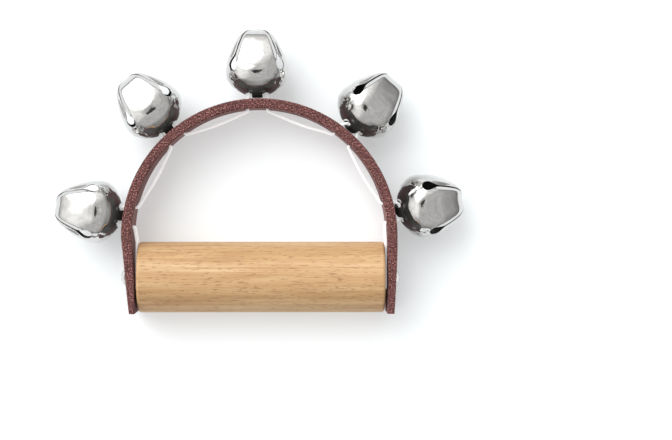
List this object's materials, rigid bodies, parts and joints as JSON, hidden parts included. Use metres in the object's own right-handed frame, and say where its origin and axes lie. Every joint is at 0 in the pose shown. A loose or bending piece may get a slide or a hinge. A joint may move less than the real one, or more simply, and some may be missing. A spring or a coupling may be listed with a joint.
{
  "type": "sleigh bells",
  "caption": "Hand-held sleigh bells: a wooden grip under an arch of leather that carries nickel-plated steel bells with loose pellets, held on by a laced band.",
  "frame": {"origin": "the middle of the wooden handle's axis, where the hand grips it", "axes": "+X along the handle, +Y from the handle to the top of the arch, +Z out of the flat side, which is up when the bells lie on a table"},
  "size_m": [0.1431, 0.099, 0.025],
  "materials": {
    "handle_wood": "fine-sanded beech",
    "strap_leather": "red-brown leather, raw cut edges",
    "lacing_plastic": "smooth white band",
    "screw_nickel": "bright nickel plate",
    "bell_nickel": "bright nickel plate",
    "pellet_steel": "plain steel"
  },
  "bodies": {
    "grip": {"handle": "handle_wood", "strap": "strap_leather", "lacing_band": "lacing_plastic", "screw_left": "screw_nickel", "screw_right": "screw_nickel"},
    "bell_1": {"bell_shell_1": "bell_nickel"},
    "ball_1": {"pellet_1": "pellet_steel"},
    "bell_2": {"bell_shell_2": "bell_nickel"},
    "ball_2": {"pellet_2": "pellet_steel"},
    "bell_3": {"bell_shell_3": "bell_nickel"},
    "ball_3": {"pellet_3": "pellet_steel"},
    "bell_4": {"bell_shell_4": "bell_nickel"},
    "ball_4": {"pellet_4": "pellet_steel"},
    "bell_5": {"bell_shell_5": "bell_nickel"},
    "ball_5": {"pellet_5": "pellet_steel"}
  },
  "joints": [
    {"name": "bell_1_rock", "type": "hinge", "parent": "grip", "child": "bell_1", "pos_m": [-0.04857, 0.02178, 0], "axis": [-0.1478, -0.989, 0], "range_deg": [-4.5, 14.5]},
    {"name": "bell_2_rock", "type": "hinge", "parent": "grip", "child": "bell_2", "pos_m": [-0.03215, 0.05146, 0], "axis": [-0.7593, -0.6508, 0], "range_deg": [-1.5, 17.5]},
    {"name": "bell_3_rock", "type": "hinge", "parent": "grip", "child": "bell_3", "pos_m": [-0.0014, 0.06314, 0], "axis": [-0.9998, -0.0175, 0], "range_deg": [-5.5, 13.5]},
    {"name": "bell_4_rock", "type": "hinge", "parent": "grip", "child": "bell_4", "pos_m": [0.03085, 0.05163, 0], "axis": [-0.7627, 0.6468, 0], "range_deg": [-12.5, 4.5]},
    {"name": "bell_5_rock", "type": "hinge", "parent": "grip", "child": "bell_5", "pos_m": [0.04719, 0.02345, 0], "axis": [-0.1822, 0.9833, 0], "range_deg": [-11, 6]},
    {"name": "ball_1_rattle", "type": "slide", "parent": "bell_1", "child": "ball_1", "axis": [0, 0, 1], "range_m": [0, 0.015]},
    {"name": "ball_2_rattle", "type": "slide", "parent": "bell_2", "child": "ball_2", "axis": [0, 0, 1], "range_m": [0, 0.015]},
    {"name": "ball_3_rattle", "type": "slide", "parent": "bell_3", "child": "ball_3", "axis": [0, 0, 1], "range_m": [0, 0.015]},
    {"name": "ball_4_rattle", "type": "slide", "parent": "bell_4", "child": "ball_4", "axis": [0, 0, 1], "range_m": [0, 0.0149]},
    {"name": "ball_5_rattle", "type": "slide", "parent": "bell_5", "child": "ball_5", "axis": [0, 0, 1], "range_m": [0, 0.0149]}
  ]
}
